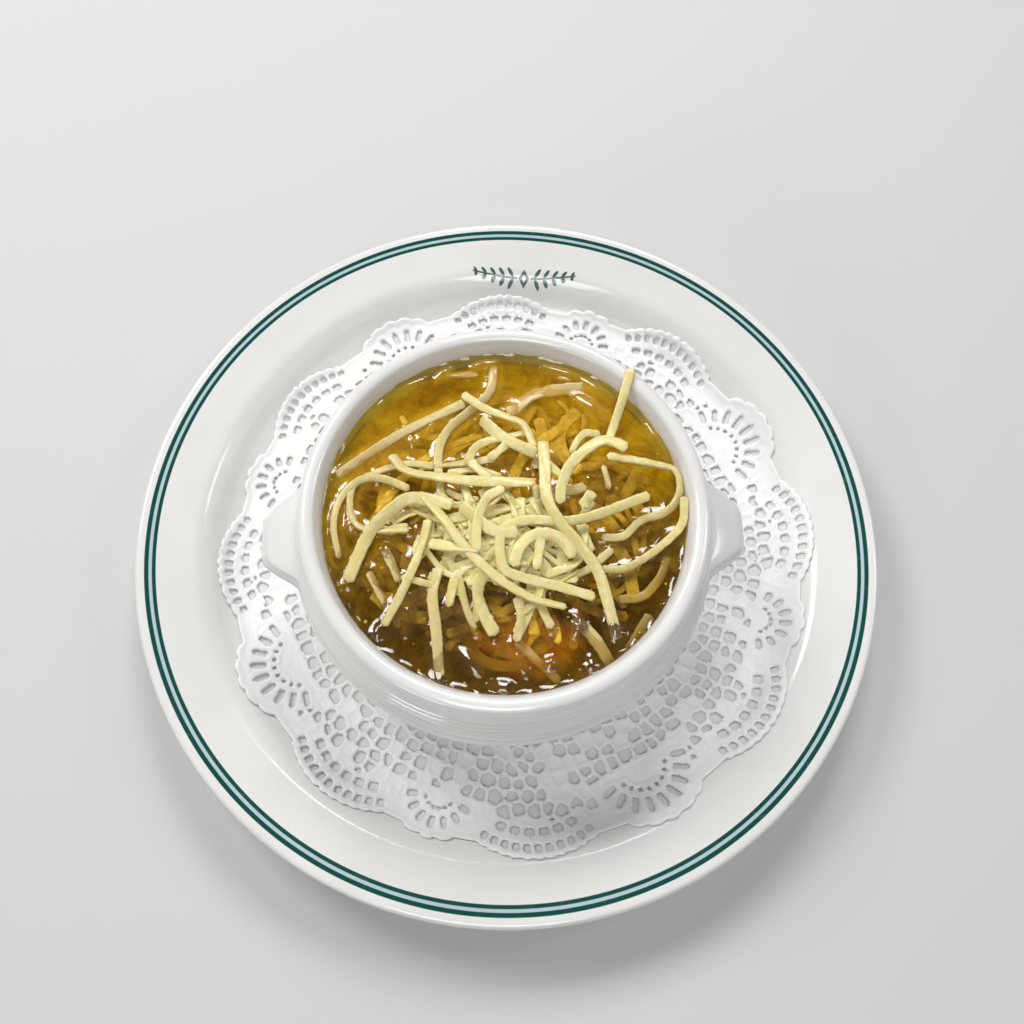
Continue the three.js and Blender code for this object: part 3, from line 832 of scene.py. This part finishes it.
# %% Strip sweep
def strip_points(route, width, thick, seed, limp=1.0):
    """Rounded rectangle carried along a route, as rows of SIDES points with blunt ends, twisted when limp."""
    draw = np.random.default_rng(seed)
    length = np.linalg.norm(np.diff(np.asarray(route, float), axis=0), axis=1).sum()
    count = max(10, int(length / 0.8))
    path = smooth_line(route, count)
    forward = np.gradient(path, axis=0)
    forward /= np.linalg.norm(forward, axis=1, keepdims=True)
    side = np.cross(forward, [0.0, 0.0, 1.0])
    side /= np.linalg.norm(side, axis=1, keepdims=True)
    over = np.cross(side, forward)
    run = np.linspace(0, 1, count)
    lean = limp * (LEAN * draw.uniform(-1, 1) + TWIST * np.sin(2 * np.pi * (run + draw.uniform())))
    tilted = side * np.cos(lean)[:, None] + over * np.sin(lean)[:, None]
    upright = over * np.cos(lean)[:, None] - side * np.sin(lean)[:, None]
    from_end = np.minimum(run, 1 - run) * length
    blunt = np.sqrt(1 - (1 - np.clip(from_end / (0.22 * width), 0, 1)) ** 2)
    taper = 1 - 0.22 * draw.uniform() * run
    swing = np.linspace(0, 2 * np.pi, SIDES, endpoint=False)
    box_x = np.sign(np.cos(swing)) * np.abs(np.cos(swing)) ** 0.45
    box_z = np.sign(np.sin(swing)) * np.abs(np.sin(swing)) ** 0.6
    worn = 1 + 0.16 * wander(path[:, 0:1] + 3 * box_x, path[:, 1:2] + 3 * box_z, 4.0, seed + 1)
    worn = worn + 0.12 * wander(path[:, 0:1] + 5 * box_x, path[:, 1:2] + 5 * box_z, 1.9, seed + 2)
    wide = (0.5 * width * blunt * taper)[:, None] * worn * box_x
    tall = (0.5 * thick * np.maximum(blunt, 0.02))[:, None] * worn * box_z
    return path[:, None, :] + tilted[:, None, :] * wide[..., None] + upright[:, None, :] * tall[..., None]


def join_strips(strips, limp=1.0):
    """Points and faces of many strips as one mesh, with each point's shade."""
    points, faces, shades, start = [], [], [], 0
    for route, width, thick, seed, shade in strips:
        rows = strip_points(route, width, thick, seed, limp)
        middles = rows.mean(axis=1, keepdims=True).repeat(SIDES, 1)
        rows = np.concatenate([middles[:1], rows, middles[-1:]])
        faces.append(grid_faces(len(rows), SIDES) + start)
        points.append(rows.reshape(-1, 3))
        shades.append(np.full(len(rows) * SIDES, shade))
        start += len(rows) * SIDES
    return np.concatenate(points), np.concatenate(faces), np.concatenate(shades)


def heap_height(x, y):
    """Height of the heap above the broth at a place."""
    return 5.6 * np.exp(-(((x + 1) / 24) ** 2) - (((y + 10) / 18) ** 2))


def random_shreds(count, seed):
    """Short bent strips and crumbs over the middle of the heap, denser towards its centre."""
    draw = np.random.default_rng(seed)
    strips = []
    for index in range(count):
        x, y = draw.normal(-1, 12.5), draw.normal(-8, 10)
        heading = draw.uniform(0, 2 * np.pi)
        length = draw.uniform(3, 8) if index % 4 == 0 else draw.uniform(11, 26)
        bend = draw.uniform(-0.5, 0.5)
        along = np.array([-0.5, 0.0, 0.5]) * length
        aside = np.array([0.0, 1.0, 0.0]) * bend * length * 0.5
        px = x + along * math.cos(heading) - aside * math.sin(heading)
        py = y + along * math.sin(heading) + aside * math.cos(heading)
        pz = heap_height(px, py) * draw.uniform(0.2, 0.95) + draw.uniform(-0.5, 0.5)
        strips.append((np.column_stack([px, py, pz]), draw.uniform(1.6, 4.0), draw.uniform(0.7, 1.2),
                       500 + index, draw.uniform(0.2, 1.0)))
    return strips


def placed(route):
    """Route in the part's frame, from the bowl's axis and up from the broth."""
    return np.asarray(route, float) + [BOWL_AT[0], BOWL_AT[1], LEVEL_Z + RIDE]


def all_strips():
    """Every shred as its route, width, thickness, seed and shade."""
    draw = np.random.default_rng(11)
    strips = []
    for index, (width, route) in enumerate(STRIPS.values()):
        lift = np.mean([point[2] for point in route])
        shade = np.clip(0.25 + lift / 7 + draw.uniform(-0.12, 0.12), 0, 1)
        strips.append((placed(route), width, STRIP_THICK, 40 + index, shade))
    return strips + [(placed(route), *rest) for route, *rest in random_shreds(120, 7)]


# %% [markdown]
# Cheese in hot soup softens: out of the broth it is pale yellow and a little oily, near the broth it turns
# beige and glassy, and below the surface the broth tints it. Height above the broth drives all of this.

# %% Cheese finish and piece
def cheese_finish():
    """Pale yellow above the broth, beige at its surface, amber and dark below it."""
    finish = Finish("cheese_shreds", roughness=0.3, subsurface_weight=0.12, subsurface_scale=0.003,
                    coat_weight=0.2, coat_roughness=0.1, ior=1.42)
    spot, _, _, z = finish.place()
    shade = finish.attribute("shade")
    uneven = finish.noise(spot, 2.4, 5.0, 0.65)
    dry = finish.mix(shade, (0.66, 0.52, 0.17), (0.80, 0.68, 0.27))
    dry = finish.mix(uneven.rise(0.42, 0.68) * 0.55, dry, (0.86, 0.79, 0.50))
    wet = finish.mix(uneven, (0.70, 0.55, 0.27), (0.58, 0.42, 0.16))
    above = (z - LEVEL_Z + (uneven - 0.5) * 2.0).rise(-0.3, 3.0)
    tone = finish.mix(above, wet, dry)
    sunk = (LEVEL_Z - z).rise(-0.5, 1.8)
    tone = finish.mix(sunk, tone, (0.58, 0.36, 0.04))
    finish.set("Base Color", tone)
    finish.set("Roughness", finish.noise(spot, 1.6, 3.0) * 0.2 + 0.26)
    finish.bump(finish.noise(spot, 0.9, 4.0), 0.0002, 0.45)
    return finish.material


def make_cheese(strips):
    """All the shreds as one piece."""
    points, faces, shades = join_strips(strips)
    piece = make_piece("cheese_shreds", points, faces, cheese_finish(), {"shade": shades})
    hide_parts("cheese")


strips = all_strips()
make_cheese(strips)

# %% [markdown]
# ## Broth
#
# Broth is clear but deep: what lies just under the surface shows, and further down it goes dark. Real
# refraction would need many bounces, so the surface is a thin see-through amber skin with a strong gloss,
# over an opaque mottled body some millimetres down. Liquid climbs whatever it touches, so the surface
# curls up at the wall and beside each strip. Those curls give the white streaks, and the skin is more
# solid there, because a see-through surface shows its gloss only in part.

# %% Broth surface
SWELLS = [
    [(-28, -24.5), (-31.5, -38)], [(-16, -30), (-15, -39.5)], [(-15, -44.5), (-9, -50.5)],
    [(-5.5, -55), (1, -56)], [(1, -45), (5, -51.5)], [(-41, -38), (-38.5, -38.5)], [(11, -48), (13.5, -49)],
    [(-15, -19.5), (-12, -20.5)], [(15, 52.5), (27, 48)], [(27, 48), (37, 40)], [(26, 40), (35.5, 33)],
    [(24, -48), (25, -51.5)], [(48, 30), (54, 17.5)], [(-44.5, 34.5), (-39, 42)], [(-39, 42), (-27, 48.5)],
    [(-25, 29), (-17.5, 35)], [(-8.5, 53.5), (-2, 55)], [(-20.5, 49.5), (-17.5, 53)], [(-14, 5), (-9.5, 7)],
    [(-31, 26), (-28.5, 26)], [(-40.5, -11), (-37.5, -11.5)], [(-50, -2), (-48.5, -4.5)],
    [(31, -37), (34, -40)], [(20, -40), (22, -36)],
]
SWELL_HEIGHT = 1.25
SWELL_WIDTH = 2.3
BROTH_COLUMNS = 440
BROTH_ROWS = 180
CLIMB = 1.5
SKIN_DROP = 0.3
MURK_DEPTH = 7.5
MURK_COLUMNS = 180


def wall_radius(height):
    """Radius of the bowl's inner wall at a height above its foot."""
    line = smooth_line(BOWL_INSIDE, 300)
    return np.interp(height, line[::-1, 1], line[::-1, 0])


def spots_near(strips, height, reach):
    """Points on the strips whose height differs from the given one by less than reach."""
    spots = np.concatenate([smooth_line(route, 40) for route, *_ in strips])
    return spots[np.abs(spots[:, 2] - height) < reach]


def gap_to_strips(x, y, strips):
    """Distance in plan to the nearest strip that crosses the broth's surface."""
    spots = spots_near(strips, LEVEL_Z + RIDE, 1.2)
    nearest = np.full(x.size, 1e9)
    flat_x, flat_y = x.reshape(-1, 1), y.reshape(-1, 1)
    for part in np.array_split(spots, 40):
        squared = (flat_x - part[None, :, 0]) ** 2 + (flat_y - part[None, :, 1]) ** 2
        nearest = np.minimum(nearest, squared.min(axis=1))
    return np.sqrt(nearest).reshape(x.shape)


def swells(x, y):
    """Narrow ridges where the surface hangs on a strip under it: a bell curve across each short line."""
    total = np.zeros(x.shape)
    for start, end in np.array(SWELLS, float) + BOWL_AT[:2]:
        ahead = end - start
        share = np.clip(((x - start[0]) * ahead[0] + (y - start[1]) * ahead[1]) / (ahead @ ahead), 0, 1)
        gap = np.hypot(x - start[0] - share * ahead[0], y - start[1] - share * ahead[1])
        bell = np.exp(-((gap / SWELL_WIDTH) ** 2))
        total = np.maximum(total, bell * (0.55 + 0.45 * np.sin(np.pi * share)))
    return SWELL_HEIGHT * total


def broth_top(strips):
    """Rows of the surface from the middle out, with ripples and climbing edges, and how stirred it is."""
    reach = wall_radius(BROTH_LEVEL) + 0.05
    share = 1 - (1 - np.linspace(0, 1, BROTH_ROWS)) ** 1.3
    angle = np.linspace(0, 2 * np.pi, BROTH_COLUMNS, endpoint=False)
    radius = (reach * share)[:, None] * np.ones_like(angle)
    x = radius * np.cos(angle) + BOWL_AT[0]
    y = radius * np.sin(angle) + BOWL_AT[1]
    gap = gap_to_strips(x, y, strips)
    ripple = 0.12 * wander(x, y, 26.0, 21) + 0.05 * wander(x, y, 8.0, 22)
    climb = np.exp(-(reach - radius) / CLIMB) * (1 + 0.8 * wander(x, y, 9.0, 24))
    rise = 0.8 * np.exp(-np.maximum(gap - 1.2, 0) / 1.3) * (1 + 0.6 * wander(x, y, 6.0, 25))
    swell = swells(x, y)
    z = LEVEL_Z - SKIN_DROP + ripple + np.maximum(climb, swell) + rise * (radius < reach - 0.5)
    stirred = np.maximum(0.8 * np.exp(-(((gap - 2.6) / 1.3) ** 2)), np.exp(-(reach - radius) / 2.0))
    stirred = np.maximum(stirred, np.minimum(2 * swell / SWELL_HEIGHT, 1))
    return np.stack([x, y, z], axis=-1), stirred


def broth_zones(finish):
    """Cloudy field, how far towards the bright back left, and the red-orange patch near the front."""
    spot, x, y, _ = finish.place()
    across = x - BOWL_AT[0]
    along = y - BOWL_AT[1]
    cloud = finish.noise(spot, 10.0, 6.0, 0.68, 1.6)
    back = (along - across * 0.12 + (cloud - 0.5) * 40.0).rise(-34.0, 38.0)
    px = (across - 5.0) / 17.0
    py = (along + 42.0) / 10.0
    patch = 1.0 - (px * px + py * py + (cloud - 0.5) * 3.0).rise(0.0, 1.3)
    radius = (across * across + along * along) ** 0.5
    return spot, cloud, back, patch, radius


def broth_finish():
    """Glossy amber skin, thicker and browner in places, olive where it thins at the wall."""
    finish = Finish("broth_surface", roughness=0.02, ior=1.48, specular_ior_level=1.0,
                    coat_weight=0.8, coat_roughness=0.02)
    spot, cloud, back, patch, radius = broth_zones(finish)
    dark = finish.ramp(cloud, [(0.3, (0.045, 0.018, 0.0003)), (0.7, (0.21, 0.10, 0.0006))])
    light = finish.ramp(cloud, [(0.32, (0.36, 0.14, 0.001)), (0.66, (0.90, 0.53, 0.006))])
    tone = finish.mix(back, dark, light)
    tone = finish.mix(patch * 0.6, tone, (0.62, 0.20, 0.001))
    stirred = finish.attribute("stirred")
    tone = finish.mix(stirred * back * 0.5, tone, (0.50, 0.27, 0.002))
    tone = finish.mix(radius.rise(52.5, 57.0) * back * 0.8, tone, (0.46, 0.34, 0.004))
    finish.set("Base Color", tone)
    finish.set("Alpha", (finish.noise(spot, 17.0, 3.0) * 0.3 + stirred * 0.5 + 0.06).least(0.9))
    finish.bump(finish.noise(spot, 3.0, 2.0) * stirred, 0.0003, 0.6)
    return finish.material


def depth_finish():
    """The murk below: amber behind, brown in front, with a red-orange patch near the front."""
    finish = Finish("broth_depth", roughness=0.6, specular_ior_level=0.0)
    _, cloud, back, patch, _ = broth_zones(finish)
    dark = finish.ramp(cloud, [(0.3, (0.03, 0.012, 0.0002)), (0.7, (0.30, 0.15, 0.0008))])
    light = finish.ramp(cloud, [(0.32, (0.36, 0.13, 0.001)), (0.66, (0.97, 0.60, 0.012))])
    finish.set("Base Color", finish.mix(patch * 0.85, finish.mix(back, dark, light), (0.95, 0.33, 0.002)))
    finish.bump(cloud, 0.002, 0.6)
    return finish.material


def make_surface(strips):
    """Clear skin that closes along the wall, down to the bowl's floor."""
    top, stirred = broth_top(strips)
    heights = np.linspace(BROTH_LEVEL - 0.2, 8.0, 24)
    outline = np.column_stack([wall_radius(heights) - 0.1, heights])
    outline = np.vstack([outline, [[14.0, 6.5], [0.0, 6.1]]])
    rows = np.concatenate([top, turned(outline, BROTH_COLUMNS) + BOWL_AT])
    faces = grid_faces(len(rows), BROTH_COLUMNS)[:, ::-1]
    stirred = np.concatenate([stirred, np.zeros((len(outline), BROTH_COLUMNS))]).reshape(-1)
    piece = make_piece("broth_surface", rows.reshape(-1, 3), faces, broth_finish(), {"stirred": stirred})
    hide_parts("broth")


def make_murk():
    """Murky body inside the skin, with an uneven top."""
    level = BROTH_LEVEL - MURK_DEPTH
    share = np.linspace(0, 1, 40)
    disc = np.column_stack([share * (wall_radius(level) - 0.4), np.full(40, level)])
    disc = turned(disc, MURK_COLUMNS) + BOWL_AT
    disc[..., 2] += 1.6 * wander(disc[..., 0], disc[..., 1], 17.0, 31)
    heights = np.linspace(level - 2.2, 9.0, 12)
    outline = np.column_stack([wall_radius(heights) - 0.5, heights])
    sump = turned(np.vstack([outline, [[0.0, 7.2]]]), MURK_COLUMNS) + BOWL_AT
    rows = np.concatenate([disc, sump])
    faces = grid_faces(len(rows), MURK_COLUMNS)[:, ::-1]
    piece = make_piece("broth_depth", rows.reshape(-1, 3), faces, depth_finish())


make_surface(strips)
make_murk()

# %% [markdown]
# ## Onions in the broth
#
# Cooked onion goes limp and see-through. The slices lie at all depths under the surface as wide curved
# bands. They are the same swept strip, wider and thinner than the cheese, coloured by how deep they lie.

# %% Onions
ONION_REACH = 53.0
ONION_LIMIT = 54.0


def onion_finish():
    """Amber bands that darken with depth."""
    finish = Finish("onion_slices", roughness=0.4, specular_ior_level=0.08)
    spot, _, _, z = finish.place()
    shade = finish.attribute("shade")
    pale = finish.mix(shade, (0.54, 0.26, 0.004), (0.80, 0.52, 0.06))
    deep = (LEVEL_Z - z).rise(0.0, 6.2)
    tone = finish.mix(deep, pale, (0.26, 0.11, 0.002))
    veins = finish.noise(spot, 2.6, 5.0, 0.65, 1.2).rise(0.4, 0.62)
    finish.set("Base Color", finish.mix(veins * 0.5, tone, (0.34, 0.16, 0.006)))
    return finish.material


def make_onions(count=190, seed=19):
    """Curved bands scattered under the surface, kept inside the wall."""
    draw = np.random.default_rng(seed)
    strips = []
    for index in range(count):
        length = draw.uniform(16, 42)
        width = draw.uniform(1.6, 4.8)
        far = ONION_REACH - length / 2
        reach = far * math.sqrt(draw.uniform(0.02, 1))
        at = draw.uniform(0, 2 * np.pi)
        heading = draw.uniform(0, np.pi)
        bend = draw.uniform(-0.4, 0.4) * length
        along = np.linspace(-0.5, 0.5, 5)
        aside = bend * (1 - (2 * along) ** 2)
        px = reach * math.cos(at) + length * along * math.cos(heading) - aside * math.sin(heading)
        py = reach * math.sin(at) + length * along * math.sin(heading) + aside * math.cos(heading)
        inward = np.minimum(1, ONION_LIMIT / np.maximum(np.hypot(px, py), 1))
        pz = -draw.uniform(0.7, 5.4) + 0.6 * np.sin(3 * along + draw.uniform(0, 6))
        route = np.column_stack([px * inward, py * inward, pz - RIDE])
        strips.append((placed(route), width, 0.9, 900 + index, draw.uniform()))
    points, faces, shades = join_strips(strips, 0.35)
    piece = make_piece("onion_slices", points, faces, onion_finish(), {"shade": shades})


make_onions()

# %% [markdown]
# ## Beads of fat
#
# Fat gathers in small round beads beside the cheese and along the wall. Each is a low dome, and its one
# bright point of light is what makes the surface read as liquid.

# %% Beads
BEAD_ROWS = 5
BEAD_SIDES = 12
BEAD_LIMIT = 57.0


def bead_spots(strips, count, draw):
    """Places for the beads: a third along the wall, the rest beside strips that touch the broth."""
    spots = spots_near(strips, LEVEL_Z + 0.3, 1.6)[:, :2]
    chosen = spots[draw.integers(0, len(spots), count)]
    heading = draw.uniform(0, 2 * np.pi, count)
    aside = draw.uniform(1.8, 4.5, count)
    chosen = chosen + np.column_stack([aside * np.cos(heading), aside * np.sin(heading)])
    third = count // 3
    turn = draw.uniform(0, 2 * np.pi, third)
    reach = BEAD_LIMIT + 0.2 - draw.exponential(1.6, third)
    chosen[:third] = np.column_stack([reach * np.cos(turn), reach * np.sin(turn)]) + BOWL_AT[:2]
    off = chosen - BOWL_AT[:2]
    return chosen[np.hypot(off[:, 0], off[:, 1]) < BEAD_LIMIT]


def make_beads(strips, count=170, seed=23):
    """Low domes of fat of uneven size, as one mesh."""
    draw = np.random.default_rng(seed)
    spots = bead_spots(strips, count, draw)
    size = 0.25 + 0.55 * draw.uniform(size=len(spots)) ** 2.5
    tilt = np.linspace(0, np.pi, BEAD_ROWS + 2)[:, None]
    turn = np.linspace(0, 2 * np.pi, BEAD_SIDES, endpoint=False)
    ball = np.broadcast_arrays(np.sin(tilt) * np.cos(turn), np.sin(tilt) * np.sin(turn), 0.55 * np.cos(tilt))
    ball = np.stack(ball, axis=-1)
    middle = np.column_stack([spots, np.full(len(spots), LEVEL_Z - 0.15)])
    points = middle[:, None, :] + size[:, None, None] * ball.reshape(1, -1, 3)
    faces = grid_faces(BEAD_ROWS + 2, BEAD_SIDES)[:, ::-1]
    faces = faces[None] + (np.arange(len(spots)) * ball.shape[0] * BEAD_SIDES)[:, None, None]
    finish = Finish("fat_beads", roughness=0.04, ior=1.46)
    spot, *_ = finish.place()
    finish.set("Base Color", finish.mix(finish.noise(spot, 9.0), (0.34, 0.17, 0.004), (0.66, 0.42, 0.02)))
    piece = make_piece("fat_beads", points.reshape(-1, 3), faces.reshape(-1, 4), finish.material)


make_beads(strips)
